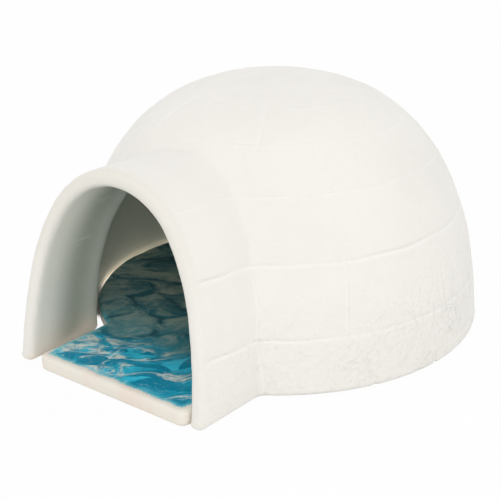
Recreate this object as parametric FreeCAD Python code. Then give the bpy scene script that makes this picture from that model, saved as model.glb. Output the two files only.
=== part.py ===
"""A ceramic igloo house for a small rodent.

The house is one hollow casting, a dome with an entrance tunnel, open underneath. It stands over
a loose floor plate: a disc that fills the dome, with a tongue that runs out through the tunnel.

Millimetres, +Z up. The origin is on the floor at the dome's axis, and the tunnel faces -Y.
Headings are degrees away from upright, leaning in over the house.
"""

import FreeCAD, Part
import math
import os

# Dome, outside: its size, the lean of its foot, and its arcs from the foot up. A low arc's
# fullness is its radius against the one that an ellipse of the same size has at its foot.
dome_radius = 82.0
dome_height = 97.0
dome_foot_heading = 3.1
dome_arc_headings = (8.3, 30.8, 85.0)
dome_low_fullness = (2.44, 0.95)

# Entrance tunnel, outside: its arch is upright at the foot. Its drop is from the dome's top to its
# own at the rim. Its reach and its root, where it ends inside the dome, are from the dome's axis.
# Its crown slopes down to the dome, and its rim leans back.
tunnel_half_width = 45.6
tunnel_drop = 15.4
tunnel_reach = 100.9
arch_arc_headings = (12.0, 34.0)
arch_low_fullness = (1.253,)
tunnel_slope = 2.0
tunnel_root = 20.0
rim_lean = 7.0

# Cast wall and its rounded edges
wall = 6.3
seam_radius = 4.0
inner_seam_radius = 3.5
rim_radius = 3.0

# Floor plate
plate_thickness = 6.3
plate_gap = 2.4
tongue_right_gap = 0.4
tongue_left_gap = 6.0
tongue_overhang = 1.1
tongue_corner_radius = 3.0
notch_radius = 2.0
plate_top_radius = 1.3
plate_foot_radius = 0.8

# Lines between the snow blocks: vee cuts
line_width = 2.6
line_depth = 0.8
tunnel_line_rise = 2.7

# Height of each ring of lines, as a share of the dome's height
ring_shares = (0.2275, 0.498, 0.717, 0.862, 0.955)

# Angles of the upright lines in each course, from +X, from the floor up
joint_angles = (
    (-26.0, -5.0, 31.0, 68.0, 99.0, 137.0, 172.0, 209.0),
    (-33.0, 0.0, 48.0, 90.0, 131.0, 180.0, 214.0),
    (-5.0, 39.0, 84.0, 129.0, 176.0, 215.0),
    (-34.0, 21.0, 72.0, 118.0, 171.0, 237.0),
    (-59.0, -7.0, 52.0, 110.0, 172.0, 243.0),
)

# How far a cutter runs past a face, and how near an edge must lie to be found
overshoot = 3.0
tolerance = 0.02

tunnel_height = dome_height - tunnel_drop


def vector(x, y, z):
    return FreeCAD.Vector(x, y, z)


class Outline:
    """One side of a dome or an arch: a chain of tangent arcs from the foot to the crown.

    The lowest arcs have stated radii. The last two are worked out from the width and height.
    """

    def __init__(self, half_width, height, foot_heading, headings, low_radii):
        angles = [math.radians(a) for a in (foot_heading,) + headings + (90.0,)]
        steps = []
        for start, end in zip(angles, angles[1:]):
            steps.append((math.cos(end) - math.cos(start), math.sin(end) - math.sin(start)))
        across, up = -half_width, height
        for (dx, dz), radius in zip(steps, low_radii):
            across -= dx * radius
            up -= dz * radius
        (ax, az), (bx, bz) = steps[-2:]
        area = ax * bz - bx * az
        radii = low_radii + [(across * bz - bx * up) / area, (ax * up - across * az) / area]
        self.foot_slope = math.tan(angles[0])
        self.half_width = half_width
        self.height = height
        self.arcs = []
        x, z = half_width, 0.0
        for start, end, radius in zip(angles, angles[1:], radii):
            centre = (x - radius * math.cos(start), z - radius * math.sin(start))
            self.arcs.append((centre, radius, start, end))
            x = centre[0] + radius * math.cos(end)
            z = centre[1] + radius * math.sin(end)

    def at(self, z):
        """Reach of the outline at a height, and its heading there."""
        if z <= 0:
            return self.half_width - z * self.foot_slope, math.atan(self.foot_slope)
        for (cx, cz), radius, start, end in self.arcs:
            if z <= cz + radius * math.sin(end):
                heading = math.asin((z - cz) / radius)
                return cx + radius * math.cos(heading), heading
        return 0.0, math.pi / 2

    def off(self, x, z):
        """How far outside the outline a place lies."""
        if z <= 0:
            return x - self.half_width + z * self.foot_slope
        for (cx, cz), radius, start, end in self.arcs:
            if math.atan2(z - cz, x - cx) <= end:
                break
        return math.hypot(x - cx, z - cz) - radius

    def edges(self, place):
        """The outline's edges from below the floor up. The place function puts (x, z) in space."""
        foot = place(self.half_width, 0.0)
        low = place(self.half_width + overshoot * self.foot_slope, -overshoot)
        found = [Part.makeLine(low, foot)]
        for (cx, cz), radius, start, end in self.arcs:
            middle = (start + end) / 2
            points = [
                place(cx + radius * math.cos(angle), cz + radius * math.sin(angle))
                for angle in (start, middle, end)
            ]
            found.append(Part.Arc(*points).toShape())
        return found


def skin_outline(half_width, height, foot_heading, headings, fullness, inset):
    """The outline of a skin that lies inside the outer one by an inset."""
    foot_radius = height**2 / half_width
    low_radii = [share * foot_radius - inset for share in fullness]
    return Outline(half_width - inset, height - inset, foot_heading, headings, low_radii)


def dome_outline(inset):
    shape = (dome_foot_heading, dome_arc_headings, dome_low_fullness)
    return skin_outline(dome_radius, dome_height, *shape, inset)


def arch_outline(inset):
    shape = (0.0, arch_arc_headings, arch_low_fullness)
    return skin_outline(tunnel_half_width, tunnel_height, *shape, inset)


def dome_body(inset):
    """The solid inside one skin of the dome, run down past the floor."""
    outline = dome_outline(inset)
    skin = outline.edges(lambda x, z: vector(x, 0, z))
    low = skin[0].Vertexes[0].Point
    top = vector(0, 0, outline.height)
    sides = Part.makePolygon([top, vector(0, 0, low.z), low]).Edges
    return Part.Face(Part.Wire(skin + sides)).revolve(vector(0, 0, 0), vector(0, 0, 1), 360)


def tilt_tunnel(shape):
    """Turns a level tunnel about its front foot, so that its crown slopes down to the dome."""
    shape.rotate(vector(0, -tunnel_reach, 0), vector(1, 0, 0), -tunnel_slope)
    return shape


def tunnel_body(inset):
    """The solid inside one skin of the tunnel, from past its rim to well inside the dome."""
    outline = arch_outline(inset)
    front = -tunnel_reach - 2 * overshoot
    right = outline.edges(lambda x, z: vector(x, front, z))
    left = outline.edges(lambda x, z: vector(-x, front, z))
    base = Part.makeLine(left[0].Vertexes[0].Point, right[0].Vertexes[0].Point)
    wire = Part.Wire(Part.__sortEdges__(right + left + [base]))
    return tilt_tunnel(Part.Face(wire).extrude(vector(0, -tunnel_root - front, 0)))


def tunnel_height_at(y, z):
    """Height above the tunnel's own foot line, for a place in the house."""
    slope = math.radians(tunnel_slope)
    return z * math.cos(slope) + (y + tunnel_reach) * math.sin(slope)


def rim_y(z):
    return -tunnel_reach + z * math.tan(math.radians(rim_lean))


def in_front_of_rim():
    """The space in front of the tunnel's leaning rim."""
    low = -3 * overshoot
    high = tunnel_height + 3 * overshoot
    far = -tunnel_reach - 4 * overshoot
    width = tunnel_half_width + overshoot
    places = [(far, low), (rim_y(low), low), (rim_y(high), high), (far, high), (far, low)]
    outline = Part.makePolygon([vector(-width, y, z) for y, z in places])
    return Part.Face(outline).extrude(vector(2 * width, 0, 0))


def below_floor():
    """The space under the floor, as far as the house reaches."""
    span = 2 * (dome_radius + tunnel_reach)
    depth = 4 * overshoot
    return Part.makeBox(span, span, depth, vector(-span / 2, -span / 2, -depth))


def edges_where(shape, test):
    """Edges that pass the test near both ends and in the middle."""
    found = []
    for edge in shape.Edges:
        first, last = edge.ParameterRange
        places = [edge.valueAt(first + (last - first) * share) for share in (0.02, 0.5, 0.98)]
        if not edge.Degenerated and all(test(place) for place in places):
            found.append(edge)
    return found


def blend(shape, radius, test):
    return shape.makeFillet(radius, edges_where(shape, test))


def on_seam(inset):
    """Tests for a place where the skins of the dome and the tunnel meet."""
    dome = dome_outline(inset)
    arch = arch_outline(inset)

    def test(place):
        off_dome = dome.off(math.hypot(place.x, place.y), place.z)
        off_arch = arch.off(abs(place.x), tunnel_height_at(place.y, place.z))
        return max(abs(off_dome), abs(off_arch)) < tolerance

    return test


def on_rim(place):
    return abs(place.y - rim_y(place.z)) < tolerance and place.z > tolerance


def vee(place, outward, across):
    """A vee section: its point below the skin, its mouth as far above it."""
    point = place - outward * line_depth
    mouth = place + outward * line_depth
    return Part.Face(Part.makePolygon([point, mouth + across, mouth - across, point]))


def skin_place(outline, z):
    """A place on the dome's skin over +X, with the directions out of it and up along it."""
    reach, heading = outline.at(z)
    outward = vector(math.cos(heading), 0, math.sin(heading))
    upward = vector(-math.sin(heading), 0, math.cos(heading))
    return vector(reach, 0, z), outward, upward


def ring_cutter(outline, z):
    """A line round the dome at one height."""
    place, outward, upward = skin_place(outline, z)
    section = vee(place, outward, upward * line_width)
    return section.revolve(vector(0, 0, 0), vector(0, 0, 1), 360)


def joint_cutter(outline, low, high, angle):
    """An upright line on the dome between two heights, at one angle."""
    floors = [skin_place(outline, z) for z in (low, (low + high) / 2, high)]
    points = [place - outward * line_depth for place, outward, upward in floors]
    bottom = Part.Arc(*points).toShape()
    place, outward, upward = floors[0]
    section = vee(place, outward, vector(0, line_width, 0))
    centre = bottom.Curve.Center
    turn = math.degrees(bottom.LastParameter - bottom.FirstParameter)
    cutter = section.revolve(centre, bottom.Curve.Axis, turn)
    cutter.rotate(vector(0, 0, 0), vector(0, 0, 1), angle)
    return cutter


def seam_y(z):
    """Where the tunnel's side meets the dome at one height."""
    dome = dome_outline(0.0)
    arch = arch_outline(0.0)
    far, near = -tunnel_reach, 0.0
    while near - far > tolerance / 100:
        middle = (far + near) / 2
        side = arch.at(tunnel_height_at(middle, z))[0]
        if math.hypot(side, middle) > dome.at(z)[0]:
            far = middle
        else:
            near = middle
    return near


def tunnel_line_cutter(z, side):
    """A line along the tunnel's side, from a ring on the dome up to the rim."""
    arch = arch_outline(0.0)
    front_z = z + tunnel_line_rise
    start_y, end_y = seam_y(z) + overshoot, rim_y(front_z) - overshoot
    sections = []
    for y, height in ((start_y, z), (end_y, front_z)):
        reach, heading = arch.at(tunnel_height_at(y, height))
        outward = vector(side * math.cos(heading), 0, math.sin(heading))
        across = vector(-side * math.sin(heading), 0, math.cos(heading)) * line_width
        sections.append(vee(vector(side * reach, y, height), outward, across).OuterWire)
    return Part.makeLoft(sections, True, True)


def block_lines(dome, tunnel):
    """All the lines between the blocks, as one cutter for each, kept out of the other body."""
    outline = dome_outline(0.0)
    rings = [share * dome_height for share in ring_shares]
    on_the_dome = [ring_cutter(outline, z) for z in rings]
    for low, high, angles in zip([0.0] + rings, rings, joint_angles):
        on_the_dome += [joint_cutter(outline, low, high, angle) for angle in angles]
    cutters = [cutter.cut(tunnel) for cutter in on_the_dome]
    for z in rings:
        if z + tunnel_line_rise < tunnel_height - wall:
            cutters += [tunnel_line_cutter(z, side).cut(dome) for side in (1, -1)]
    return cutters


def igloo_shell():
    dome = dome_body(0.0)
    tunnel = tunnel_body(0.0)
    body = dome.fuse(tunnel).cut(in_front_of_rim()).removeSplitter()
    body = blend(body, seam_radius, on_seam(0.0))
    hollow = dome_body(wall).fuse(tunnel_body(wall)).removeSplitter()
    hollow = blend(hollow, inner_seam_radius, on_seam(wall))
    shell = body.cut(hollow).cut(below_floor())
    shell = blend(shell, min(rim_radius, 0.45 * wall), on_rim)
    return shell.cut(block_lines(dome, tunnel)).Solids[0]


def floor_plate():
    reach = dome_radius - wall - plate_gap
    right = tunnel_half_width - wall - tongue_right_gap
    left = tongue_left_gap - (tunnel_half_width - wall)
    front = -tunnel_reach - tongue_overhang
    disc = Part.makeCylinder(reach, plate_thickness)
    tongue = Part.makeBox(right - left, -front, plate_thickness, vector(left, front, 0))
    plate = disc.fuse(tongue).removeSplitter()

    def upright(place):
        return tolerance < place.z < plate_thickness - tolerance

    def in_corner(place):
        return abs(place.y - front) < tolerance and min(place.x - left, right - place.x) < tolerance

    def in_notch(place):
        off_disc = abs(math.hypot(place.x, place.y) - reach)
        off_side = min(abs(place.x - left), abs(place.x - right))
        return place.y < 0 and off_disc < tolerance and off_side < tolerance

    plate = blend(plate, tongue_corner_radius, lambda p: upright(p) and in_corner(p))
    plate = blend(plate, notch_radius, lambda p: upright(p) and in_notch(p))
    plate = blend(plate, plate_top_radius, lambda p: abs(p.z - plate_thickness) < tolerance)
    return blend(plate, plate_foot_radius, lambda p: abs(p.z) < tolerance)


os.makedirs("parts", exist_ok=True)
for name, make in (("igloo_shell", igloo_shell), ("floor_plate", floor_plate)):
    make().exportStep("parts/" + name + ".step")
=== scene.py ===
"""Looks for a ceramic igloo house for a small rodent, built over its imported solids.

Metres, +Z up. The origin is on the floor at the dome's axis, and the entrance tunnel faces -Y.
"""

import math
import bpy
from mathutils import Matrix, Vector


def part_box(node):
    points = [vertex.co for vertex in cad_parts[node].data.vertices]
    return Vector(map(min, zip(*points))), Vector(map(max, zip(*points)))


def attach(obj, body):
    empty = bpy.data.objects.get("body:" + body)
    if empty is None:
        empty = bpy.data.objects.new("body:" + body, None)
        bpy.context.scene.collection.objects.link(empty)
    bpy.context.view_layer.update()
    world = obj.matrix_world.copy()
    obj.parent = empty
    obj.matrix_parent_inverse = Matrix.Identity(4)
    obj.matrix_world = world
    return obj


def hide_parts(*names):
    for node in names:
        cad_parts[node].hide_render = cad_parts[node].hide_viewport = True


bl_info = {
    "name": "Ceramic igloo house",
    "version": (1, 0, 0),
    "blender": (4, 5, 0),
    "location": "3D View > Sidebar > Igloo",
    "description": "Glazed igloo shell, ice-glazed floor plate and a plain studio",
    "category": "Object",
}

from types import SimpleNamespace

import bmesh
import bpy
import numpy as np
from bpy.props import FloatProperty, FloatVectorProperty, IntProperty, PointerProperty
from mathutils import Matrix, Vector, kdtree

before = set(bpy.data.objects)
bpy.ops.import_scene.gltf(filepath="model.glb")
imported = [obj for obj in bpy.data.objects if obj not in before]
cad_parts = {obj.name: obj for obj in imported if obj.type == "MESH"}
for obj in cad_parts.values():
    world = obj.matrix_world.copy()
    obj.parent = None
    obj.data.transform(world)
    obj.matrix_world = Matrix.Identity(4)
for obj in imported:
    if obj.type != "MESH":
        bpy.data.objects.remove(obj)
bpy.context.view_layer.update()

BODY = "root"

# The lines between the snow blocks, from the floor up: each ring's height and strength, the
# tunnel's seam with the dome at that height, and the angles of the upright lines in each course
RING_HEIGHTS = (0.02207, 0.04831, 0.06955, 0.08361, 0.09264)
RING_STRENGTHS = (0.9, 0.9, 0.55, 0.5, 0.6)
SEAM_REACHES = (0.0673, 0.0640, 0.0545)
SEAM_STRENGTH = 0.5
TUNNEL_STRENGTHS = (1.0, 1.1, 0.4)
JOINT_STRENGTHS = (0.75, 0.7, 0.5, 0.4, 0.45)
JOINT_ANGLES = (
    (-26, -5, 31, 68, 99, 137, 172, 209),
    (-33, 0, 48, 90, 131, 180, 214),
    (-5, 39, 84, 129, 176, 215),
    (-34, 21, 72, 118, 171, 237),
    (-59, -7, 52, 110, 172, 243),
)
FAINT_JOINTS = ((0, -26), (2, -5))
TUNNEL_LINE_RISE = 0.0027
# Groups of scratches: angle, height, lean in degrees and number of strokes
STROKE_GROUPS = (
    (8, 0.037, 8, 6),
    (-4, 0.030, 20, 3),
    (-30, 0.016, -65, 4),
    (-12, 0.012, 55, 4),
    (60, 0.035, -20, 5),
    (120, 0.014, 40, 4),
    (150, 0.038, 5, 5),
    (205, 0.030, -15, 5),
    (-38, 0.078, 75, 4),
    (-50, 0.090, 80, 3),
    (15, 0.060, 30, 3),
    (-84, 0.082, 88, 3),
)
# The rim of the entrance: how far it lies in front of the axis, and its lean to the back
RIM_REACH = 0.1009
RIM_LEAN = math.tan(math.radians(7.0))
# A vertex that stands out further than this past the dome's face belongs to the tunnel
TUNNEL_PROUD = 0.003
# Heights that differ by less than this are the same
LEVEL_ERROR = 1e-5
PRESSED_MARKS = 420
# The gap between the floor plate's disc and the wall, and where the tunnel cuts it off
GAP_INNER_RADIUS = 0.0736
GAP_OUTER_RADIUS = 0.0756
GAP_FRONT = -0.036
# The camera's target, to the right of the axis as the camera sees it, and above the floor
AIM_SIDE = -0.01058
AIM_HEIGHT = 0.023856


def select_only(piece):
    bpy.ops.object.select_all(action="DESELECT")
    piece.select_set(True)
    bpy.context.view_layer.objects.active = piece


def welded_copy(node, name):
    """A new piece that starts as a CAD node's mesh with its doubles merged."""
    piece = bpy.data.objects.new(name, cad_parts[node].data.copy())
    bpy.context.scene.collection.objects.link(piece)
    select_only(piece)
    piece.data.materials.clear()
    bpy.ops.object.mode_set(mode="EDIT")
    bpy.ops.mesh.select_all(action="SELECT")
    bpy.ops.mesh.remove_doubles(threshold=2e-6)
    bpy.ops.object.mode_set(mode="OBJECT")
    return piece


def apply_modifier(piece, kind, **settings):
    modifier = piece.modifiers.new(kind.title(), kind)
    for name, value in settings.items():
        setattr(modifier, name, value)
    select_only(piece)
    bpy.ops.object.modifier_apply(modifier=modifier.name)


def places_of(piece, kind="co"):
    """The place of each vertex in a row of its own, or its normal."""
    values = np.empty(len(piece.data.vertices) * 3)
    piece.data.vertices.foreach_get(kind, values)
    return values.reshape(-1, 3)


def move_to(piece, places):
    piece.data.vertices.foreach_set("co", places.ravel())
    piece.data.update()


def set_weights(piece, name, weights):
    """Stores a weight for each vertex in a vertex group, in 255 steps."""
    group = piece.vertex_groups.new(name=name)
    steps = np.rint(np.clip(weights, 0, 1) * 255).astype(int)
    order = np.argsort(steps, kind="stable")
    starts = np.searchsorted(steps[order], np.arange(257))
    for step in range(1, 256):
        members = order[starts[step] : starts[step + 1]]
        if len(members):
            group.add(members.tolist(), step / 255, "REPLACE")


def set_attribute(piece, name, values):
    attribute = piece.data.attributes.new(name, "FLOAT", "POINT")
    attribute.data.foreach_set("value", values.astype(np.float32))


def smoothstep(low, high, values):
    share = np.clip((values - low) / (high - low), 0, 1)
    return share * share * (3 - 2 * share)


def relief_texture(name, kind, size, **settings):
    texture = bpy.data.textures.new(name, kind)
    texture.noise_scale = size
    for key, value in settings.items():
        setattr(texture, key, value)
    return texture


def displace(piece, group, height, texture=None, middle=0.0):
    settings = {"vertex_group": group, "strength": height, "mid_level": middle}
    if texture:
        settings.update(texture=texture, texture_coords="LOCAL")
    apply_modifier(piece, "DISPLACE", **settings)


def tree_of(places):
    """A tree that finds the nearest of some places."""
    tree = kdtree.KDTree(len(places))
    for number, place in enumerate(places):
        tree.insert(place, number)
    tree.balance()
    return tree


def places_along(edge, step):
    """Even places along a mesh edge, no further apart than the step."""
    first, last = (vertex.co for vertex in edge.verts)
    count = max(1, math.ceil((last - first).length / step))
    return [first.lerp(last, (number + 0.5) / count) for number in range(count)]


def foot_outlines(piece, step):
    """Places along the bottom edges of a piece that stands on the floor, each with the
    horizontal direction out of the wall there."""
    mesh = bmesh.new()
    mesh.from_mesh(piece.data)
    places, outwards = [], []
    for edge in mesh.edges:
        if len(edge.link_faces) != 2 or max(v.co.z for v in edge.verts) > LEVEL_ERROR:
            continue
        under, side = sorted(edge.link_faces, key=lambda face: face.normal.z)
        if under.normal.z > -0.9 or abs(side.normal.z) > 0.5:
            continue
        along = places_along(edge, step)
        places += along
        outwards += [Vector((side.normal.x, side.normal.y)).normalized()] * len(along)
    mesh.free()
    return np.array(places), np.array(outwards)


def round_foot(piece, outlines, radius):
    """Rolls the bottom edges of a wall onto an arc of the given radius."""
    corners, outwards = outlines
    tree = tree_of(corners)
    places = places_of(piece)
    for number in np.flatnonzero(places[:, 2] < radius):
        x, y, z = places[number]
        nearest = tree.find((x, y, 0))[1]
        outward = outwards[nearest]
        depth = -(places[number, :2] - corners[nearest, :2]) @ outward
        if depth < radius:
            away = math.hypot(depth - radius, z - radius)
            new_depth = radius + (depth - radius) * radius / away
            places[number, :2] += outward * (depth - new_depth)
            places[number, 2] = max(0.0, radius + (z - radius) * radius / away)
    move_to(piece, places)


def outward_share(places, normals):
    """How far each vertex faces out of the house: 1 outside, -1 inside, 0 on rims."""
    axis = np.zeros_like(places)
    axis[:, 1] = 0.9 * np.minimum(places[:, 1], 0)
    axis[:, 2] = np.minimum(places[:, 2], 0.03)
    away = places - axis
    away /= np.linalg.norm(away, axis=1)[:, None]
    return (away * normals).sum(1)


def turn_between(angles, angle):
    return (angles - angle + math.pi) % (2 * math.pi) - math.pi


def dome_reach(places, outside):
    """The dome's outer radius at the height of each place, read from its back half."""
    back = outside & (places[:, 1] > 0.005)
    heights = places[back, 2]
    reaches = np.hypot(places[back, 0], places[back, 1])
    bins = np.linspace(0, heights.max(), 60)
    number = np.digitize(heights, bins)
    known = [n for n in range(1, 61) if (number == n).any()]
    middle = [heights[number == n].mean() for n in known]
    reach = [reaches[number == n].mean() for n in known]
    return np.interp(places[:, 2], middle, reach)


def dome_outline(heights, reaches):
    """The dome's convex outline, as rows of height, radius and the direction out of it."""
    order = np.argsort(heights)
    hull = []
    for height, reach in zip(heights[order], reaches[order]):
        while len(hull) > 1:
            (z_first, r_first), (z_last, r_last) = hull[-2:]
            if (r_last - r_first) * (height - z_last) > (reach - r_last) * (z_last - z_first):
                break
            hull.pop()
        hull.append((height, reach))
    hull = np.array(hull)
    steps = np.hypot(*np.diff(hull, axis=0).T)
    along = np.concatenate(([0], np.cumsum(steps)))
    marks = np.linspace(0, along[-1], 3000)
    z = np.interp(marks, along, hull[:, 0])
    r = np.interp(marks, along, hull[:, 1])
    z_turn, r_turn = np.gradient(z), np.gradient(r)
    size = np.hypot(z_turn, r_turn)
    return np.stack((z, r, -r_turn / size, z_turn / size), axis=1)


def line_fields(places, normals, on_tunnel):
    """The distance of each vertex from the nearest ring and from the nearest upright joint,
    positive above or to the left of the line, and the strength of that line there."""
    x, y, z = places.T
    reach = np.hypot(x, y)
    angle = np.arctan2(y, x)
    upright = np.clip(np.hypot(normals[:, 0], normals[:, 1]), 0.12, 1)
    fields = {name: np.full(len(places), 0.01) for name in ("ring_way", "joint_way")}
    fields.update({name: np.zeros(len(places)) for name in ("ring_share", "joint_share")})

    def cut(kind, across, strength, here):
        way, share = fields[kind + "_way"], fields[kind + "_share"]
        closer = here & (np.abs(across) < np.abs(way))
        way[closer] = across[closer]
        share[closer] = strength[closer]

    on_dome = ~on_tunnel
    worn = 0.3 + 0.7 * patches(places, 0.017, 21)
    for number, (height, strength) in enumerate(zip(RING_HEIGHTS, RING_STRENGTHS)):
        wander = 0.00035 * np.sin(3 * angle + number) + 0.0002 * np.sin(17 * angle + 2 * number)
        fade = 0.8 + 0.2 * np.sin(4 * angle + 2.2 * number) - 0.15 * np.sin(9 * angle + number)
        if number > 1:
            fade = fade * worn
        cut("ring", (z - height) / upright - wander, strength * fade, on_dome)
    lows = (0.0,) + RING_HEIGHTS
    for course, (low, high, angles) in enumerate(zip(lows, RING_HEIGHTS, JOINT_ANGLES)):
        beyond = np.maximum(np.maximum(low - z, z - high), 0) / upright
        for number, degrees in enumerate(angles):
            wander = 0.0004 * np.sin(z / 0.006 + 2.1 * number + course)
            across = reach * turn_between(angle, math.radians(degrees)) - wander
            fade = 0.75 + 0.25 * np.sin(z / 0.004 + number)
            if (course, degrees) in FAINT_JOINTS:
                fade = fade * 0.3
            away = np.copysign(np.hypot(across, beyond), across)
            cut("joint", away, JOINT_STRENGTHS[course] * fade, on_dome)
    seam = np.interp(z, RING_HEIGHTS[:3], SEAM_REACHES)
    across = np.where(y > -seam, (y + seam) / 0.56, y + seam) - 0.0003 * np.sin(z / 0.0045)
    low_down = 1 - smoothstep(0.042, 0.050, z)
    cut("joint", across, SEAM_STRENGTH * low_down, (y < -0.05) & (z < 0.05))
    for height, seam, strength in zip(RING_HEIGHTS, SEAM_REACHES, TUNNEL_STRENGTHS):
        share = np.clip((-y - seam) / (RIM_REACH - seam), 0, 1)
        wander = 0.0002 * np.sin(y / 0.003)
        fade = np.where(x < 0, 0.35, 0.8 + 0.2 * np.sin(y / 0.005))
        away = (z - height - TUNNEL_LINE_RISE * share) / upright - wander
        cut("ring", away, strength * fade, on_tunnel)
    return fields


def patches(places, size, seed):
    """Slow waves from 0 to 1 over the surface, from a few crossing ripples."""
    random = np.random.default_rng(seed)
    total = np.zeros(len(places))
    for _ in range(8):
        direction = random.normal(size=3)
        direction *= 2 * math.pi / size / np.linalg.norm(direction)
        total += np.sin(places @ direction + random.uniform(0, 2 * math.pi))
    return smoothstep(-2.0, 2.0, total)


def tangent_frame(normal):
    side = np.cross(normal, (0, 0, 1))
    side /= np.linalg.norm(side)
    return side, np.cross(side, normal)


def pressed_marks(places, normals, likely, count):
    """Shallow crescents, as a tool leaves when it is pressed into soft clay."""
    arc_width = 0.0011
    random = np.random.default_rng(7)
    weights = np.zeros(len(places))
    able = np.flatnonzero((likely > 0.02) & (np.abs(normals[:, 2]) < 0.95))
    able = able[np.argsort(places[able, 2])]
    heights = places[able, 2]
    chances = likely[able] / likely[able].sum()
    for host in random.choice(able, count, replace=False, p=chances):
        radius = random.uniform(0.0011, 0.0030)
        reach = radius + 0.0015
        low, high = np.searchsorted(heights, (places[host, 2] - reach, places[host, 2] + reach))
        level = able[low:high]
        near = level[np.abs(places[level, :2] - places[host, :2]).max(1) < reach]
        offset = places[near] - places[host]
        facing = (normals[near] @ normals[host]) > 0.7
        distance = np.linalg.norm(offset, axis=1)
        side, rise = tangent_frame(normals[host])
        turned = np.arctan2(offset @ rise, offset @ side)
        open_angle = random.uniform(-math.pi, math.pi)
        half_span = random.uniform(0.6, 1.8)
        span = 1 - smoothstep(half_span - 0.4, half_span, np.abs(turn_between(turned, open_angle)))
        arc = np.exp(-(((distance - radius) / arc_width) ** 2)) * span
        mark = random.uniform(0.3, 0.9) * arc * facing
        weights[near] = np.maximum(weights[near], mark)
    return weights


def combed_strokes(places, normals, outside):
    """Groups of near-parallel scratches, as from a comb drawn over the clay."""
    stroke_width, spacing = 0.0007, 0.0021
    random = np.random.default_rng(11)
    weights = np.zeros(len(places))
    able = np.flatnonzero(outside > 0.5)
    for degrees, height, lean, strokes in STROKE_GROUPS:
        angle = math.radians(degrees)
        ahead = np.cos(np.arctan2(places[able, 1], places[able, 0]) - angle)
        score = np.where(ahead > 0, 0.08 * (1 - ahead), 1) + np.abs(places[able, 2] - height)
        host = able[np.argmin(score)]
        side, rise = tangent_frame(normals[host])
        turn = math.radians(lean)
        along_axis = rise * math.cos(turn) + side * math.sin(turn)
        across_axis = side * math.cos(turn) - rise * math.sin(turn)
        near = able[np.abs(places[able] - places[host]).max(1) < 0.02]
        offset = places[near] - places[host]
        along, across = offset @ along_axis, offset @ across_axis
        for number in range(strokes):
            middle = (number - (strokes - 1) / 2) * spacing + random.uniform(-0.0005, 0.0005)
            shift = random.uniform(-0.003, 0.003)
            half = random.uniform(0.004, 0.010)
            bend = random.uniform(-4, 4)
            away = across - middle - bend * (along - shift) ** 2
            ends = 1 - smoothstep(half - 0.003, half, np.abs(along - shift))
            stroke = random.uniform(0.4, 0.9) * np.exp(-((away / stroke_width) ** 2)) * ends
            weights[near] = np.maximum(weights[near], stroke)
    return weights


def length_setting(name, description, default):
    return FloatProperty(name=name, description=description, default=default, unit="LENGTH")


def angle_setting(name, description, degrees):
    default = math.radians(degrees)
    return FloatProperty(name=name, description=description, default=default, subtype="ANGLE")


def colour_setting(name, description, default):
    return FloatVectorProperty(
        name=name, description=description, default=default, subtype="COLOR", min=0.0, max=1.0
    )


class IglooShellSettings(bpy.types.PropertyGroup):
    mesh_size: length_setting(
        "Mesh size", "Width of the faces before they are divided for the relief", 0.0012
    )
    foot_radius: length_setting("Foot radius", "Roundness of the wall's bottom edges", 0.0024)
    line_width: length_setting(
        "Line width", "Half width of the soft hollow that each line lies in", 0.0009
    )
    line_depth: length_setting(
        "Line depth", "Depth of the soft hollow that the deepest lines lie in", 0.0003
    )
    lip_height: length_setting("Lip height", "Height of the soft lip below a line", 0.00015)
    block_swell: length_setting(
        "Block swell", "How far the middle of a block stands out past its edges", 0.00012
    )
    lump_height: length_setting("Lump height", "Height of the hand-shaped unevenness", 0.00035)
    crumple_height: length_setting(
        "Crumple height", "Height of the crumpled snow texture on the lower courses", 0.00022
    )
    mark_depth: length_setting(
        "Mark depth", "Depth of the crescents pressed into the lower courses", 0.00013
    )
    most_faces: IntProperty(
        name="Most faces",
        description="Number of triangles that the finished shell may have",
        default=190000,
    )
    glaze: colour_setting("Glaze", "Colour of the white glaze", (0.90, 0.875, 0.825))
    # Glaze pooled in the lines and hollows, darkened further as painted shade there
    pooled_glaze_and_shade: colour_setting(
        "Pooled glaze and shade", "Colour where the glaze lies thick and painted shade falls, in the lines and hollows", (0.80, 0.77, 0.69)
    )
    # A painted highlight on the raised lip below each line
    lip_highlight: colour_setting(
        "Lip highlight", "Painted highlight on the raised lip beside a line", (0.985, 0.97, 0.935)
    )
    rim_glaze: colour_setting(
        "Rim glaze", "Colour of the thin glaze on the rim of the entrance", (0.84, 0.81, 0.74)
    )
    throat_glaze: colour_setting(
        "Throat glaze", "Colour of the glaze just inside the entrance", (0.93, 0.905, 0.80)
    )
    # Painted shade on the inside past the rim, which the deep colour covers again in the dome
    inner_shade: colour_setting(
        "Inner shade", "Colour of the painted shade inside the tunnel", (0.295, 0.315, 0.245)
    )
    deep_clay: colour_setting("Deep clay", "Colour of the inside of the dome", (0.86, 0.85, 0.745))
    # Painted warm light low on the inside wall, above the gap round the floor plate
    foot_glow: colour_setting(
        "Foot glow", "Colour of the painted warm light low on the inside", (0.92, 0.85, 0.735)
    )
    pinhole: colour_setting(
        "Pinhole", "Colour of the sparse specks in the glaze", (0.35, 0.31, 0.26)
    )


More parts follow.
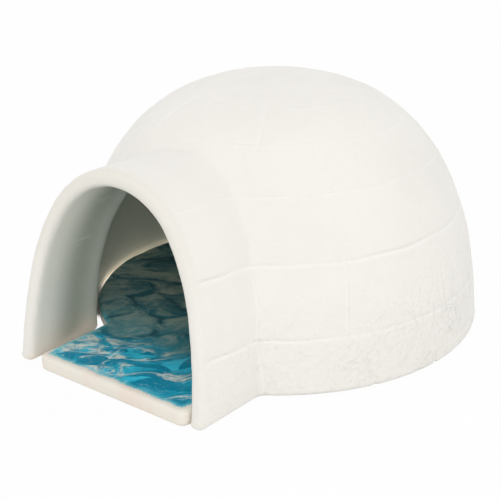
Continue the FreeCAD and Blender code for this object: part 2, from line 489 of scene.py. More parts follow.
class FloorPlateSettings(bpy.types.PropertyGroup):
    mesh_size: length_setting("Mesh size", "Width of the faces that carry the relief", 0.0009)
    unevenness: length_setting("Unevenness", "Height of the waves in the cast plate", 0.0005)
    body: colour_setting("Body", "Colour of the bare cream sides", (0.90, 0.85, 0.765))
    blush: colour_setting(
        "Blush", "Colour of the pinkish patches on the bare sides", (0.90, 0.79, 0.70)
    )
    grit: colour_setting("Grit", "Colour of the grains in the bare sides", (0.45, 0.33, 0.24))
    deep_ice: colour_setting(
        "Deep ice", "Colour of the clear deep ice on the tongue", (0.006, 0.29, 0.46)
    )
    bright_ice: colour_setting(
        "Bright ice", "Colour of the bright ice on the tongue", (0.05, 0.66, 0.90)
    )
    old_ice: colour_setting(
        "Old ice", "Colour of the grey floes inside the house", (0.40, 0.50, 0.44)
    )
    teal_ice: colour_setting(
        "Teal ice", "Colour cast of the ice just behind the tunnel", (0.11, 0.40, 0.47)
    )
    pale_ice: colour_setting(
        "Pale ice", "Colour of the palest ice inside the house", (0.55, 0.62, 0.54)
    )
    thin_ice: colour_setting(
        "Thin ice", "Colour of the thin glaze along the plate's edge", (0.16, 0.66, 0.76)
    )
    sunk_ice: colour_setting(
        "Sunk ice", "Colour of the low ice beside the cracks inside the house", (0.02, 0.17, 0.225)
    )
    crack: colour_setting("Crack", "Colour of the cracks inside the house", (0.02, 0.10, 0.13))
    snow: colour_setting("Snow", "Colour of the drifts on the ice", (0.78, 0.87, 0.82))


class StudioSettings(bpy.types.PropertyGroup):
    view_heading: angle_setting(
        "View heading", "Turn of the camera round the house from straight in front", 38.685
    )
    view_rise: angle_setting("View rise", "Angle of the camera above the horizon", 22.001)
    view_roll: angle_setting("View roll", "Turn of the camera about its own line of sight", -0.26)
    view_distance: length_setting(
        "View distance", "Distance from the camera to its target", 0.50562
    )
    lens: FloatProperty(
        name="Lens",
        description="Focal length in millimetres",
        default=88.49,
    )
    sky: FloatProperty(
        name="Sky",
        description="Strength of the even light from all round",
        default=0.90,
    )
    front: FloatProperty(
        name="Front light",
        description="Power of the soft lamp that reaches into the house",
        default=1.5,
    )
    top: FloatProperty(
        name="Top light",
        description="Power of the soft lamp over the house",
        default=0.6,
    )
    gap: FloatProperty(
        name="Gap light",
        description="Strength of the light from the gap round the floor plate",
        default=1.8,
    )
    gap_glow: colour_setting(
        "Gap glow", "Colour of the light from the gap round the floor plate", (1.0, 0.975, 0.90)
    )
    floor: colour_setting("Floor", "Colour of the floor", (0.86, 0.86, 0.86))


class Wiring:
    """Adds nodes to a tree and joins them."""

    def __init__(self, tree):
        self.tree = tree

    def fill(self, node, inputs):
        """Gives a node's inputs their values, or links them to another node's output."""
        for name, value in inputs.items():
            if isinstance(value, bpy.types.NodeSocket):
                self.tree.links.new(value, node.inputs[name])
            else:
                node.inputs[name].default_value = value

    def add(self, kind, inputs=None, **settings):
        node = self.tree.nodes.new(kind)
        for name, value in settings.items():
            setattr(node, name, value)
        self.fill(node, inputs or {})
        return node

    def group(self, tree, **inputs):
        return self.add("ShaderNodeGroup", inputs, node_tree=tree).outputs

    def attribute(self, name):
        return self.add("ShaderNodeAttribute", attribute_name=name).outputs["Fac"]

    def place(self):
        """Object coordinates in millimetres."""
        coordinates = self.add("ShaderNodeTexCoord").outputs["Object"]
        return self.scaled(coordinates, 1000.0)

    def axes(self, vector):
        return self.add("ShaderNodeSeparateXYZ", {0: vector}).outputs

    def math(self, operation, *values):
        inputs = dict(enumerate(values))
        return self.add("ShaderNodeMath", inputs, operation=operation).outputs[0]

    def times(self, first, second):
        return self.math("MULTIPLY", first, second)

    def total(self, start, *parts):
        """A start value with each part times its weight added to it."""
        for value, weight in parts:
            start = self.math("MULTIPLY_ADD", value, weight, start)
        return start

    def centred(self, noise):
        """A noise from 0 to 1, moved to run from -0.5 to 0.5."""
        return self.math("SUBTRACT", noise, 0.5)

    def vector_math(self, operation, *values):
        inputs = dict(enumerate(values))
        return self.add("ShaderNodeVectorMath", inputs, operation=operation).outputs[0]

    def scaled(self, vector, factor):
        node = self.add("ShaderNodeVectorMath", {0: vector, "Scale": factor}, operation="SCALE")
        return node.outputs[0]

    def stretched(self, vector, degrees, length):
        """Coordinates in which a pattern is turned, and drawn out along that direction."""
        inputs = {
            "Vector": vector,
            "Rotation": (0.0, 0.0, math.radians(degrees)),
            "Scale": (length, 1.0, 1.0),
        }
        return self.add("ShaderNodeMapping", inputs, vector_type="TEXTURE").outputs[0]

    def ramp(self, value, low, high, start=0.0, end=1.0):
        inputs = {"Value": value, "From Min": low, "From Max": high, "To Min": start, "To Max": end}
        return self.add("ShaderNodeMapRange", inputs, interpolation_type="SMOOTHSTEP").outputs[0]

    def noise(self, vector, size, detail=2.0, roughness=0.5, distortion=0.0, output=0):
        inputs = {
            "Vector": vector,
            "Scale": 1 / size,
            "Detail": detail,
            "Roughness": roughness,
            "Distortion": distortion,
        }
        return self.add("ShaderNodeTexNoise", inputs).outputs[output]

    def wander(self, vector, size, detail, reach):
        """A shift in millimetres that bends the pattern whose coordinates it is added to."""
        noise = self.noise(vector, size, detail, output="Color")
        return self.scaled(self.vector_math("SUBTRACT", noise, (0.5, 0.5, 0.5)), reach)

    def mix(self, factor, first, second):
        """Two colours mixed, each of them an output or three numbers."""
        first, second = (
            value if isinstance(value, bpy.types.NodeSocket) else (*value, 1.0)
            for value in (first, second)
        )
        inputs = {0: factor, 6: first, 7: second}
        return self.add("ShaderNodeMix", inputs, data_type="RGBA").outputs[2]

    def coats(self, base, *layers):
        """A colour with others laid over it, each where its mask says."""
        for mask, tint in layers:
            base = self.mix(mask, base, tint)
        return base


def shared_group(name, inputs, wire):
    """A shader node group for more than one material. It is built on first use, when wire
    joins its inputs and gives its outputs by name."""
    if name not in bpy.data.node_groups:
        tree = bpy.data.node_groups.new(name, "ShaderNodeTree")
        new_socket = tree.interface.new_socket
        new_socket(name="Place", in_out="INPUT", socket_type="NodeSocketVector")
        for label, value in inputs.items():
            socket = new_socket(name=label, in_out="INPUT", socket_type="NodeSocketFloat")
            socket.default_value = value
        results = wire(Wiring(tree), tree.nodes.new("NodeGroupInput").outputs)
        for label in results:
            new_socket(name=label, in_out="OUTPUT", socket_type="NodeSocketFloat")
        Wiring(tree).fill(tree.nodes.new("NodeGroupOutput"), results)
    return bpy.data.node_groups[name]


def soft_patches():
    """Cloudy patches of a given size, as where a glaze runs thick and thin."""

    def wire(wiring, entry):
        scale = wiring.math("DIVIDE", 1.0, entry["Size"])
        inputs = {"Vector": entry["Place"], "Scale": scale, "Detail": 3.0}
        noise = wiring.add("ShaderNodeTexNoise", inputs).outputs[0]
        return {"Mask": wiring.ramp(noise, entry["Low"], entry["High"])}

    return shared_group("Soft Patches", {"Size": 10.0, "Low": 0.4, "High": 0.6}, wire)


def pinholes():
    """Sparse round specks: one in some of the cells of an even scatter."""

    def wire(wiring, entry):
        scale = wiring.math("DIVIDE", 1.0, entry["Spacing"])
        inputs = {"Vector": entry["Place"], "Scale": scale}
        cell = wiring.add("ShaderNodeTexVoronoi", inputs).outputs
        away = wiring.times(cell["Distance"], entry["Spacing"])
        soft = wiring.times(entry["Radius"], 0.5)
        chance = wiring.add("ShaderNodeSeparateColor", {"Color": cell["Color"]}).outputs[0]
        chosen = wiring.math("LESS_THAN", chance, entry["Share"])
        return {"Mask": wiring.times(wiring.ramp(away, soft, entry["Radius"], 1.0, 0.0), chosen)}

    return shared_group("Pinholes", {"Spacing": 4.0, "Radius": 0.2, "Share": 0.2}, wire)


def ice_floes():
    """Cracked floes of a given size: the distance to the nearest crack in millimetres, a tone
    for each floe, and a slope of light across it."""

    def wire(wiring, entry):
        scale = wiring.math("DIVIDE", 1.0, entry["Size"])
        inputs = {"Vector": entry["Place"], "Scale": scale, "Randomness": 0.95}
        edge, cell = (
            wiring.add("ShaderNodeTexVoronoi", inputs, voronoi_dimensions="2D", feature=feature)
            for feature in ("DISTANCE_TO_EDGE", "F1")
        )
        local = wiring.vector_math("SUBTRACT", entry["Place"], cell.outputs["Position"])
        aim = wiring.vector_math("SUBTRACT", cell.outputs["Color"], (0.5, 0.5, 0.5))
        aim = wiring.vector_math("MULTIPLY", aim, (1.0, 1.0, 0.0))
        sides = {0: wiring.scaled(local, scale), 1: aim}
        slope = wiring.add("ShaderNodeVectorMath", sides, operation="DOT_PRODUCT")
        tones = wiring.add("ShaderNodeSeparateColor", {"Color": cell.outputs["Color"]})
        return {
            "Crack": wiring.times(edge.outputs["Distance"], entry["Size"]),
            "Tone": tones.outputs[0],
            "Slope": slope.outputs["Value"],
        }

    return shared_group("Ice Floes", {"Size": 20.0}, wire)


def new_material(name):
    material = bpy.data.materials.new(name)
    material.use_nodes = True
    wiring = Wiring(material.node_tree)
    return material, wiring, material.node_tree.nodes["Principled BSDF"]


def carved_line(wiring, kind):
    """A crisp line with a lip below it, from a piece's own attributes: the masks of the line
    and of its lip, and their height. All are in millimetres."""
    line_half_width, line_sink = 0.36, 0.10
    lip_drop, lip_near_width, lip_far_width, lip_rise = 0.8, 0.4, 0.75, 0.12
    way, share = wiring.attribute(kind + "_way"), wiring.attribute(kind + "_share")

    def bell(away):
        return wiring.math("EXPONENT", wiring.times(wiring.times(away, away), -1.0))

    groove = bell(wiring.times(way, 1 / line_half_width))
    groove = wiring.times(groove, wiring.times(share, share))
    off_lip = wiring.math("ADD", way, lip_drop)
    near_side = wiring.math("MAXIMUM", wiring.times(off_lip, 1 / lip_near_width), 0.0)
    far_side = wiring.math("MINIMUM", wiring.times(off_lip, 1 / lip_far_width), 0.0)
    lip = wiring.times(bell(wiring.math("ADD", near_side, far_side)), share)
    return groove, lip, wiring.total(wiring.times(groove, -line_sink), (lip, lip_rise))


def white_glaze(settings):
    """Warm white satin glaze that pools in the lines, with painted shade in the lines, hollows and
    tunnel, a painted highlight on the lips and painted warm light low on the inside.
    """
    material, wiring, shader = new_material("White glaze")
    place = wiring.place()
    warm = wiring.group(soft_patches(), Place=place, Size=28.0, Low=0.35, High=0.7)["Mask"]
    matt = wiring.group(soft_patches(), Place=place, Size=9.0, Low=0.3, High=0.7)["Mask"]
    specks = wiring.group(pinholes(), Place=place, Spacing=11.0, Radius=0.28, Share=0.16)["Mask"]
    rings, joints = carved_line(wiring, "ring"), carved_line(wiring, "joint")
    grooves = wiring.math("MAXIMUM", rings[0], joints[0])
    lips = wiring.math("MAXIMUM", rings[1], joints[1])

    worked = wiring.attribute("worked")
    folds = wiring.centred(wiring.noise(place, 5.4, detail=1.0, distortion=1.3))
    crumbs = wiring.noise(place, 3.0, detail=1.5, distortion=0.7)
    snow = wiring.total(crumbs, (wiring.math("ABSOLUTE", folds), -2.0))
    # The hollows of the crumpled snow, which get pooled glaze and painted shade in the colour
    hollows = wiring.times(wiring.ramp(snow, 0.30, -0.05), worked)
    snow = wiring.times(snow, wiring.times(worked, 0.6))
    peel = wiring.noise(place, 1.3)
    height = wiring.total(snow, (peel, 0.06), (rings[2], 1.0), (joints[2], 1.0))
    bump = wiring.add("ShaderNodeBump", {"Strength": 1.0, "Distance": 0.001, "Height": height})

    base = wiring.mix(warm, settings.glaze, [value * 0.975 for value in settings.glaze])
    base = wiring.coats(
        base,
        # pooled glaze and painted shade in the lines
        (wiring.times(grooves, 0.45), settings.pooled_glaze_and_shade),
        # painted highlight on the lips below the lines
        (wiring.times(lips, 0.5), settings.lip_highlight),
        (wiring.attribute("rim"), settings.rim_glaze),
        (wiring.attribute("throat"), settings.throat_glaze),
        # painted shade inside the tunnel
        (wiring.attribute("inside"), settings.inner_shade),
        (wiring.attribute("deep"), settings.deep_clay),
        # painted warm light low on the inside wall
        (wiring.attribute("foot"), settings.foot_glow),
        (wiring.times(specks, 0.6), settings.pinhole),
        # pooled glaze and painted shade in the hollows of the crumpled snow
        (wiring.times(hollows, 0.12), settings.pooled_glaze_and_shade),
    )
    finish = {
        "Base Color": base,
        "Roughness": wiring.total(0.42, (matt, 0.12), (wiring.attribute("inside"), 0.25)),
        "Normal": bump.outputs[0],
        "Coat Weight": 0.1,
        "Coat Roughness": 0.2,
        "Specular IOR Level": 0.35,
    }
    wiring.fill(shader, finish)
    return material


def ice_marks(wiring, place):
    """The patterns that the ice is coloured by. Where a size is given, it is in millimetres."""
    bends = wiring.wander(place, 26.0, 1.0, 20.0)
    frays = wiring.wander(place, 3.6, 3.0, 1.2)
    warped = wiring.vector_math("ADD", place, wiring.vector_math("ADD", bends, frays))
    turned = wiring.stretched(warped, 34.0, 1.6)
    combed = wiring.stretched(warped, 22.0, 3.0)
    floe = wiring.group(ice_floes(), Place=turned, Size=16.0)
    fine = wiring.noise(turned, 2.6, detail=5.0, roughness=0.66, distortion=0.5)
    return SimpleNamespace(
        axes=wiring.axes(place),
        floe=floe,
        facet=wiring.group(ice_floes(), Place=turned, Size=7.0),
        fine=fine,
        drift=wiring.noise(turned, 9.5, detail=5.0, roughness=0.6, distortion=1.2),
        streak=wiring.noise(combed, 1.5, detail=4.0, roughness=0.7),
        speckle=wiring.noise(place, 0.8, roughness=0.7),
        crack_way=wiring.total(floe["Crack"], (wiring.centred(fine), 1.8)),
    )


def tongue_ice(wiring, settings, marks):
    """Bright blue ice with heaps, wisps and edges of snow: its colour, and where it is heaped."""
    slope, drift = marks.floe["Slope"], marks.drift
    light = wiring.total(
        0.28,
        (slope, 1.4),
        (marks.floe["Tone"], 0.3),
        (marks.facet["Slope"], 2.4),
        (wiring.centred(marks.fine), 1.3),
        (wiring.centred(marks.streak), 0.8),
    )
    heaped = wiring.total(drift, (slope, 0.25))
    heaped = wiring.math("ADD", heaped, wiring.ramp(marks.axes["X"], 0.0, -30.0, 0.0, 0.10))
    heaped = wiring.ramp(heaped, 0.53, 0.62)
    heaped = wiring.times(heaped, wiring.ramp(marks.fine, 0.40, 0.54, 0.3, 1.0))
    wisps = wiring.ramp(marks.streak, 0.54, 0.70, 0.0, 0.55)
    wisps = wiring.times(wisps, wiring.ramp(drift, 0.42, 0.56, 0.2, 1.0))
    shade = wiring.ramp(marks.crack_way, 0.1, 2.4, 0.8, 0.0)
    shade = wiring.times(shade, wiring.ramp(slope, 0.1, -0.1))
    frost = wiring.ramp(marks.crack_way, 0.1, 0.9, 0.8, 0.0)
    frost = wiring.times(frost, wiring.ramp(slope, -0.05, 0.15))
    ice = wiring.coats(
        settings.deep_ice,
        (wiring.ramp(light, 0.0, 1.0), settings.bright_ice),
        (heaped, settings.snow),
        (wisps, settings.snow),
        (shade, settings.deep_ice),
        (frost, settings.snow),
    )
    return ice, heaped


def house_ice(wiring, settings, marks):
    """Grey floes between dark cracks, with a teal cast towards the tunnel."""
    slope, drift = marks.floe["Slope"], marks.drift
    waves = wiring.centred(marks.fine)
    grey = wiring.total(0.30, (slope, 1.7), (marks.floe["Tone"], 0.4), (waves, 1.5))
    shade = wiring.ramp(marks.crack_way, 0.2, 3.5, 0.7, 0.0)
    shade = wiring.times(shade, wiring.ramp(drift, 0.62, 0.46))
    crack = wiring.ramp(marks.crack_way, 0.2, 1.0, 1.0, 0.0)
    crack = wiring.times(crack, wiring.ramp(drift, 0.58, 0.42, 0.0, 0.9))
    return wiring.coats(
        settings.sunk_ice,
        (wiring.ramp(grey, 0.0, 1.0), settings.old_ice),
        (wiring.ramp(marks.axes["Y"], -68.0, -34.0, 0.45, 0.0), settings.teal_ice),
        (wiring.ramp(drift, 0.48, 0.66, 0.0, 0.45), settings.pale_ice),
        (shade, settings.sunk_ice),
        (crack, settings.crack),
    )


def ice_glaze(settings):
    """Ice floes, cracks and snow drifts in a blue glaze, on a bare cream body."""
    material, wiring, shader = new_material("Ice glaze")
    place = wiring.place()
    marks = ice_marks(wiring, place)
    depth = wiring.total(
        marks.axes["Y"], (marks.floe["Tone"], 12.0), (wiring.centred(marks.drift), 26.0)
    )
    bright, heaped = tongue_ice(wiring, settings, marks)
    ice = wiring.coats(
        bright,
        (wiring.ramp(depth, -73.0, -61.0), house_ice(wiring, settings, marks)),
        (wiring.ramp(marks.speckle, 0.62, 0.72, 0.0, 0.25), settings.snow),
    )

    pink = wiring.group(soft_patches(), Place=place, Size=14.0, Low=0.4, High=0.7)["Mask"]
    grains = wiring.group(pinholes(), Place=place, Spacing=3.4, Radius=0.25, Share=0.12)["Mask"]
    body = wiring.mix(pink, settings.body, settings.blush)
    body = wiring.mix(wiring.times(grains, 0.35), body, settings.grit)

    ragged = wiring.noise(place, 0.9, detail=3.0, roughness=0.8)
    bare_front = wiring.ramp(marks.axes["Y"], -99.0, -93.0, 0.9, 0.0)
    in_dome = wiring.ramp(marks.axes["Y"], -72.0, -64.0)
    in_dome = wiring.times(in_dome, wiring.ramp(marks.axes["Z"], 3.4, 4.8))
    reach = wiring.total(
        wiring.attribute("inset"),
        (wiring.centred(ragged), 2.6),
        (wiring.centred(wiring.noise(place, 7.0)), 2.0),
        (bare_front, -1.0),
        (in_dome, 3.0),
    )
    covered = wiring.ramp(reach, -0.1, 1.3)
    thinned = wiring.mix(wiring.ramp(reach, 0.4, 3.6, 0.75, 0.0), ice, settings.thin_ice)
    height = wiring.total(wiring.times(covered, 0.4), (marks.speckle, 0.5), (heaped, 0.3))
    bump = wiring.add("ShaderNodeBump", {"Strength": 0.3, "Distance": 0.0003, "Height": height})
    finish = {
        "Base Color": wiring.mix(covered, body, thinned),
        "Roughness": wiring.ramp(covered, 0.0, 1.0, 0.6, 0.38),
        "Normal": bump.outputs[0],
        "Specular IOR Level": 0.12,
    }
    wiring.fill(shader, finish)
    return material


class IGLOO_OT_shell(bpy.types.Operator):
    """Builds the glazed shell: the dome of snow blocks with its entrance tunnel"""

    bl_idname = "igloo.shell"
    bl_label = "Igloo shell"

    def execute(self, context):
        settings = context.scene.igloo_shell
        piece = welded_copy("igloo_shell", "glazed_igloo_shell")
        outlines = foot_outlines(piece, 0.0004)
        apply_modifier(piece, "REMESH", mode="VOXEL", voxel_size=settings.mesh_size)
        apply_modifier(piece, "SMOOTH", factor=0.5, iterations=2)
        self.fill_lines(piece)
        self.even_out(piece)
        apply_modifier(piece, "SUBSURF", levels=1, render_levels=1)
        round_foot(piece, outlines, settings.foot_radius)
        self.model_relief(piece, settings)
        share = settings.most_faces / (2 * len(piece.data.polygons))
        if share < 1:
            apply_modifier(piece, "DECIMATE", ratio=share)
        self.mark_surface(piece)
        select_only(piece)
        bpy.ops.object.shade_smooth()
        piece.data.materials.append(white_glaze(settings))
        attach(piece, BODY)
        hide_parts("igloo_shell")
        return {"FINISHED"}

    def read_surface(self, piece):
        """The places and normals of the vertices, how far each faces outwards, how far it is
        behind the rim, and how far it stands out past the dome's own face."""
        places, normals = places_of(piece), places_of(piece, "normal")
        facing = outward_share(places, normals)
        off_rim = places[:, 1] + RIM_REACH - places[:, 2] * RIM_LEAN
        reach = np.hypot(places[:, 0], places[:, 1])
        proud = reach - dome_reach(places, facing > 0.7)
        return places, normals, facing, off_rim, proud

    def fill_lines(self, piece):
        """Lifts what lies under the dome's smooth outline out to it, so that no wide dent is
        left where a sharp groove was."""
        places, _, facing, _, proud = self.read_surface(piece)
        reach = np.hypot(places[:, 0], places[:, 1])
        back = (facing > 0.5) & (places[:, 1] > 0.005)
        outline = dome_outline(places[back, 2], reach[back])
        tree = tree_of([(radius, height, 0) for height, radius, _, _ in outline])
        on_dome = (facing > 0.3) & (proud < 0.0003) & (proud > -0.003)
        for number in np.flatnonzero(on_dome & (places[:, 2] > 0.001)):
            height, radius, rise, out = outline[tree.find((reach[number], places[number, 2], 0))[1]]
            lift = (radius - reach[number]) * out + (height - places[number, 2]) * rise
            if 0 < lift < 0.0014:
                places[number, :2] *= 1 + lift * out / max(reach[number], 1e-6)
                places[number, 2] += lift * rise
        move_to(piece, places)

    def even_out(self, piece):
        """Irons the broad faces, which takes out the facets of the solid."""
        places, _, facing, off_rim, proud = self.read_surface(piece)
        off_seam = 1 - 0.85 * smoothstep(0.0, 0.0015, proud) * smoothstep(0.009, 0.006, proud)
        outer = smoothstep(0.2, 0.5, facing) * smoothstep(0.006, 0.010, off_rim) * off_seam
        inner = smoothstep(0.2, 0.5, -facing) * smoothstep(0.004, 0.010, off_rim)
        off_floor = smoothstep(0.001, 0.006, places[:, 2])
        set_weights(piece, "ironed", np.maximum(outer, inner) * off_floor)
        apply_modifier(piece, "SMOOTH", factor=0.5, iterations=60, vertex_group="ironed")

    def worked_share(self, places, on_tunnel):
        """How crumpled the snow is: most on the lowest course, hardly on the crown."""
        heights = (0.019, 0.027, 0.042, 0.072)
        worked = np.interp(places[:, 2], heights, (1.1, 0.7, 0.4, 0.28))
        worked *= np.where(on_tunnel, 0.5, 1)
        return worked * (0.65 + 0.35 * patches(places, 0.024, 5))

    def model_relief(self, piece, settings):
        places, normals, facing, off_rim, proud = self.read_surface(piece)
        outside = smoothstep(0.25, 0.6, facing) * smoothstep(0.003, 0.007, off_rim)
        outside *= smoothstep(0.0005, 0.004, places[:, 2])
        on_tunnel = proud > TUNNEL_PROUD
        fields = line_fields(places, normals, on_tunnel)
        groove, lip = np.zeros(len(places)), np.zeros(len(places))
        for kind in ("ring", "joint"):
            way, share = fields[kind + "_way"] / settings.line_width, fields[kind + "_share"]
            groove = np.maximum(groove, share * np.exp(-(way**2)))
            lip = np.maximum(lip, share * np.exp(-(((way + 1.9) / 1.1) ** 2)))
        nearest = np.minimum(np.abs(fields["ring_way"]), np.abs(fields["joint_way"]))
        seam = 0.5 * np.exp(-(((proud - 0.0014) / 0.0009) ** 2))
        groove = np.maximum(groove, seam * smoothstep(0.003, 0.010, off_rim))
        worked = self.worked_share(places, on_tunnel)
        marks = pressed_marks(places, normals, outside * worked**2, PRESSED_MARKS)
        strokes = combed_strokes(places, normals, outside)
        inside = smoothstep(0.3, 0.7, -facing) * smoothstep(0.001, 0.006, places[:, 2])
        set_weights(piece, "outside", outside)
        set_weights(piece, "inside", inside)
        set_weights(piece, "grooves", outside * groove)
        set_weights(piece, "lips", outside * lip)
        set_weights(piece, "swell", outside * (1 - np.exp(-nearest / 0.0045)))
        set_weights(piece, "crumpled", outside * worked * (1 - groove))
        set_weights(piece, "marks", outside * np.maximum(marks, strokes) * (1 - groove))
        lumps = relief_texture("Lumps", "CLOUDS", 0.012, noise_depth=1)
        crumples = relief_texture("Crumples", "CLOUDS", 0.0034, noise_depth=1, contrast=1.8)
        dents = relief_texture("Dents", "VORONOI", 0.0046, distance_metric="DISTANCE_SQUARED")
        waves = relief_texture("Waves", "CLOUDS", 0.03, noise_depth=0)
        displace(piece, "swell", settings.block_swell)
        displace(piece, "grooves", -settings.line_depth)
        displace(piece, "lips", settings.lip_height)
        displace(piece, "outside", settings.lump_height, lumps, 0.5)
        displace(piece, "crumpled", settings.crumple_height, crumples, 0.5)
        displace(piece, "crumpled", 0.35 * settings.crumple_height, dents, 0.3)
        displace(piece, "marks", -settings.mark_depth)
        displace(piece, "inside", 0.0005, waves, 0.5)

    def mark_surface(self, piece):
        """Stores, for the material, where the inside gets painted shade and, low on the wall,
        painted warm light, and where the glaze pools in the lines with painted shade.
        """
        places, normals, facing, off_rim, proud = self.read_surface(piece)
        on_tunnel = proud > TUNNEL_PROUD
        fields = line_fields(places, normals, on_tunnel)
        within = smoothstep(0.0, 0.5, -facing)
        outside = smoothstep(0.25, 0.6, facing)
        in_dome = smoothstep(0.015, 0.039, off_rim)
        height = places[:, 2]
        # The band of painted warm light low on the inside wall, higher and softer in the dome
        low_edge = 0.0018 + 0.0044 * in_dome
        fade = 0.0016 + 0.0022 * in_dome
        foot = np.exp(-np.maximum(height - low_edge, 0) / fade)
        throat = smoothstep(0.0005, 0.005, off_rim) * (0.4 + 0.6 * smoothstep(0.012, 0.045, height))
        at_rim = 1 - smoothstep(0.0015, 0.0045, off_rim)
        piece.vertex_groups.clear()
        # Where the painted shade goes on the inside past the rim; the material also makes it
        # rougher
        set_attribute(piece, "inside", within * smoothstep(0.006, 0.026, off_rim))
        set_attribute(piece, "throat", within * throat)
        set_attribute(piece, "rim", at_rim * (0.35 + 0.65 * smoothstep(0.03, 0.07, height)))
        set_attribute(piece, "deep", within * in_dome)
        carved = outside * smoothstep(0.002, 0.005, off_rim)
        for kind in ("ring", "joint"):
            way = fields[kind + "_way"]
            near = 1 - smoothstep(0.0016, 0.0026, np.abs(way))
            set_attribute(piece, kind + "_way", way * 1000)
            set_attribute(piece, kind + "_share", fields[kind + "_share"] * carved * near)
        set_attribute(piece, "worked", outside * self.worked_share(places, on_tunnel))
        set_attribute(piece, "foot", within * foot * (0.85 + 0.15 * in_dome))


class IGLOO_OT_floor_plate(bpy.types.Operator):
    """Builds the loose floor plate with its ice glaze"""

    bl_idname = "igloo.floor_plate"
    bl_label = "Floor plate"

    def execute(self, context):
        settings = context.scene.igloo_floor_plate
        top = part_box("floor_plate")[1].z
        piece = welded_copy("floor_plate", "ice_floor_plate")
        outlines = self.top_outline(piece, top)
        coarse = 1.0
        apply_modifier(piece, "REMESH", mode="VOXEL", voxel_size=settings.mesh_size * coarse)
        apply_modifier(piece, "SMOOTH", factor=0.5, iterations=6)
        self.mark_surface(piece, outlines, top)
        places = places_of(piece)
        set_weights(piece, "raised", smoothstep(0.001, 0.004, places[:, 2]))
        waves = relief_texture("Plate waves", "CLOUDS", 0.018, noise_depth=1)
        chatter = relief_texture("Plate grain", "CLOUDS", 0.0045, noise_depth=1)
        displace(piece, "raised", settings.unevenness, waves, 0.5)
        displace(piece, "raised", 0.0003, chatter, 0.5)
        piece.vertex_groups.clear()
        select_only(piece)
        bpy.ops.object.shade_smooth()
        piece.data.materials.append(ice_glaze(settings))
        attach(piece, BODY)
        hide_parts("floor_plate")
        return {"FINISHED"}

    def top_outline(self, piece, top):
        """Places along the outer edge of the plate's flat top."""
        mesh = bmesh.new()
        mesh.from_mesh(piece.data)
        places = []
        for edge in mesh.edges:
            levels = sorted(face.normal.z for face in edge.link_faces)
            on_top = min(vertex.co.z for vertex in edge.verts) > top - LEVEL_ERROR
            if on_top and levels[0] < 0.9999 < levels[1]:
                places += places_along(edge, 0.0005)
        mesh.free()
        return places

    def mark_surface(self, piece, outlines, top):
        """Stores how far in from the edge of the top each vertex lies, in millimetres."""
        tree = tree_of([(place.x, place.y, 0) for place in outlines])
        places = places_of(piece)
        away = np.array([tree.find((x, y, 0))[2] for x, y, _ in places])
        on_top = places[:, 2] > top - 0.00025
        set_attribute(piece, "inset", np.where(on_top, away, -away) * 1000)


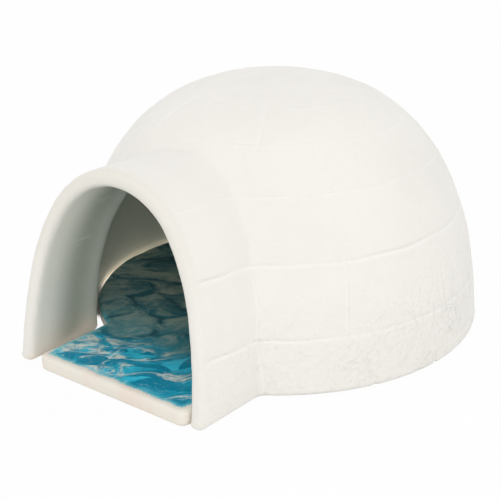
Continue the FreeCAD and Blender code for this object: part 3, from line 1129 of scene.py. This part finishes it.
class IGLOO_OT_studio(bpy.types.Operator):
    """Sets the floor, the light and the camera"""

    bl_idname = "igloo.studio"
    bl_label = "Studio"

    def execute(self, context):
        settings = context.scene.igloo_studio
        self.add_floor(settings)
        self.add_gap_light(settings)
        self.light_world(context, settings)
        self.add_lamp("front_light", Vector((0.60, -0.64, 0.50)), 0.3, settings.front)
        self.add_lamp("top_light", Vector((-0.25, 0.1, 1.1)), 1.0, settings.top)
        self.add_camera(context, settings)
        context.scene.view_settings.view_transform = "Standard"
        return {"FINISHED"}

    def add_floor(self, settings):
        bpy.ops.object.select_all(action="DESELECT")
        bpy.ops.mesh.primitive_plane_add(size=8.0, location=(0, 0, -0.0001))
        floor = bpy.context.object
        floor.name = "studio_floor"
        material, wiring, shader = new_material("Studio floor")
        plain = {"Base Color": (*settings.floor, 1.0), "Roughness": 0.9, "Specular IOR Level": 0.0}
        wiring.fill(shader, plain)
        glow = wiring.add("ShaderNodeEmission", {"Color": (1, 1, 1, 1), "Strength": 1.0})
        share = wiring.times(self.seen(wiring), wiring.times(self.open_floor(wiring), 0.96))
        sides = {0: share, 1: shader.outputs[0], 2: glow.outputs[0]}
        mixed = wiring.add("ShaderNodeMixShader", sides)
        wiring.fill(wiring.tree.nodes["Material Output"], {"Surface": mixed.outputs[0]})
        floor.data.materials.append(material)

    def seen(self, wiring):
        """1 for a ray that sees the surface, itself or in a reflection, and 0 for its light."""
        rays = wiring.add("ShaderNodeLightPath").outputs
        seen = wiring.math("MAXIMUM", rays["Is Camera Ray"], rays["Is Glossy Ray"])
        return wiring.math("MAXIMUM", seen, rays["Is Transmission Ray"])

    def open_floor(self, wiring):
        """Where the floor isn't under the dome: 1 outside it, 0 within."""
        place = wiring.place()
        flat = wiring.vector_math("MULTIPLY", place, (1.0, 1.0, 0.0))
        reach = wiring.add("ShaderNodeVectorMath", {0: flat}, operation="LENGTH").outputs["Value"]
        beyond_dome = wiring.ramp(reach, 76.0, 80.0)
        before_dome = wiring.ramp(wiring.axes(place)["Y"], -57.0, -53.0, 1.0, 0.0)
        return wiring.math("MAXIMUM", beyond_dome, before_dome)

    def add_gap_light(self, settings):
        """The bright table between the floor plate and the wall's foot, which the camera can't
        see, and whose light falls on the wall above the plate."""
        bpy.ops.object.select_all(action="DESELECT")
        bpy.ops.mesh.primitive_circle_add(
            vertices=96, radius=GAP_INNER_RADIUS, fill_type="NOTHING"
        )
        ring = bpy.context.object
        ring.name = "gap_light"
        bpy.ops.object.mode_set(mode="EDIT")
        bpy.ops.mesh.select_all(action="SELECT")
        bpy.ops.mesh.extrude_region_move()
        grow = GAP_OUTER_RADIUS / GAP_INNER_RADIUS
        bpy.ops.transform.resize(value=(grow, grow, 1), center_override=(0, 0, 0))
        bpy.ops.mesh.select_all(action="DESELECT")
        bpy.ops.object.mode_set(mode="OBJECT")
        for vertex in ring.data.vertices:
            vertex.select = vertex.co.y < GAP_FRONT
        bpy.ops.object.mode_set(mode="EDIT")
        bpy.ops.mesh.delete(type="VERT")
        bpy.ops.object.mode_set(mode="OBJECT")
        material, wiring, shader = new_material("Gap light")
        glow = {
            "Base Color": (*settings.floor, 1.0),
            "Emission Color": (*settings.gap_glow, 1.0),
            "Emission Strength": settings.gap,
        }
        wiring.fill(shader, glow)
        ring.data.materials.append(material)
        ring.visible_camera = False
        ring.visible_glossy = False

    def light_world(self, context, settings):
        world = bpy.data.worlds.new("Studio")
        world.use_nodes = True
        context.scene.world = world
        wiring = Wiring(world.node_tree)
        heading = wiring.add("ShaderNodeTexCoord").outputs["Generated"]
        rise = wiring.axes(heading)["Z"]
        sky = wiring.ramp(rise, 0.2, 1.0, 1.03 * settings.sky, 0.86 * settings.sky)
        sides = {"Value": self.seen(wiring), "To Min": sky, "To Max": 1.0}
        strength = wiring.add("ShaderNodeMapRange", sides).outputs[0]
        background = world.node_tree.nodes["Background"]
        wiring.fill(background, {"Color": (1, 1, 1, 1), "Strength": strength})

    def add_lamp(self, name, place, size, power):
        bpy.ops.object.light_add(type="AREA", location=place)
        lamp = bpy.context.object
        lamp.name = name
        lamp.rotation_euler = (Vector((0, 0, 0.04)) - place).to_track_quat("-Z", "Y").to_euler()
        lamp.data.shape = "DISK"
        lamp.data.size = size
        lamp.data.energy = power
        lamp.visible_glossy = False

    def add_camera(self, context, settings):
        heading, rise = settings.view_heading, settings.view_rise
        right = Vector((math.cos(heading), math.sin(heading), 0))
        outward = Vector((math.sin(heading), -math.cos(heading), 0))
        back = outward * math.cos(rise) + Vector((0, 0, math.sin(rise)))
        up = back.cross(right)
        target = right * AIM_SIDE + Vector((0, 0, AIM_HEIGHT))
        roll_cos, roll_sin = math.cos(settings.view_roll), math.sin(settings.view_roll)
        turned_right = right * roll_cos + up * roll_sin
        turned_up = up * roll_cos - right * roll_sin
        turn = Matrix((turned_right, turned_up, back)).transposed()
        camera = bpy.data.objects.new("camera", bpy.data.cameras.new("camera"))
        context.scene.collection.objects.link(camera)
        place = target + back * settings.view_distance
        camera.matrix_world = Matrix.Translation(place) @ turn.to_4x4()
        camera.data.sensor_width = 36.0
        camera.data.lens = settings.lens
        camera.data.clip_start = 0.01
        context.scene.camera = camera


class IGLOO_PT_pieces(bpy.types.Panel):
    """Lists the pieces of the igloo house"""

    bl_idname = "IGLOO_PT_pieces"
    bl_label = "Igloo house"
    bl_space_type = "VIEW_3D"
    bl_region_type = "UI"
    bl_category = "Igloo"

    def draw(self, context):
        for operator in PIECES:
            self.layout.operator(operator.bl_idname)


SETTINGS = {
    "igloo_shell": IglooShellSettings,
    "igloo_floor_plate": FloorPlateSettings,
    "igloo_studio": StudioSettings,
}
PIECES = (IGLOO_OT_shell, IGLOO_OT_floor_plate, IGLOO_OT_studio)
CLASSES = (*SETTINGS.values(), *PIECES, IGLOO_PT_pieces)


def register():
    for item in CLASSES:
        bpy.utils.register_class(item)
    for name, kind in SETTINGS.items():
        setattr(bpy.types.Scene, name, PointerProperty(type=kind))


def unregister():
    for name in SETTINGS:
        delattr(bpy.types.Scene, name)
    for item in reversed(CLASSES):
        bpy.utils.unregister_class(item)


def main():
    register()
    bpy.ops.igloo.shell()
    bpy.ops.igloo.floor_plate()
    bpy.ops.igloo.studio()


if __name__ == "__main__":
    main()
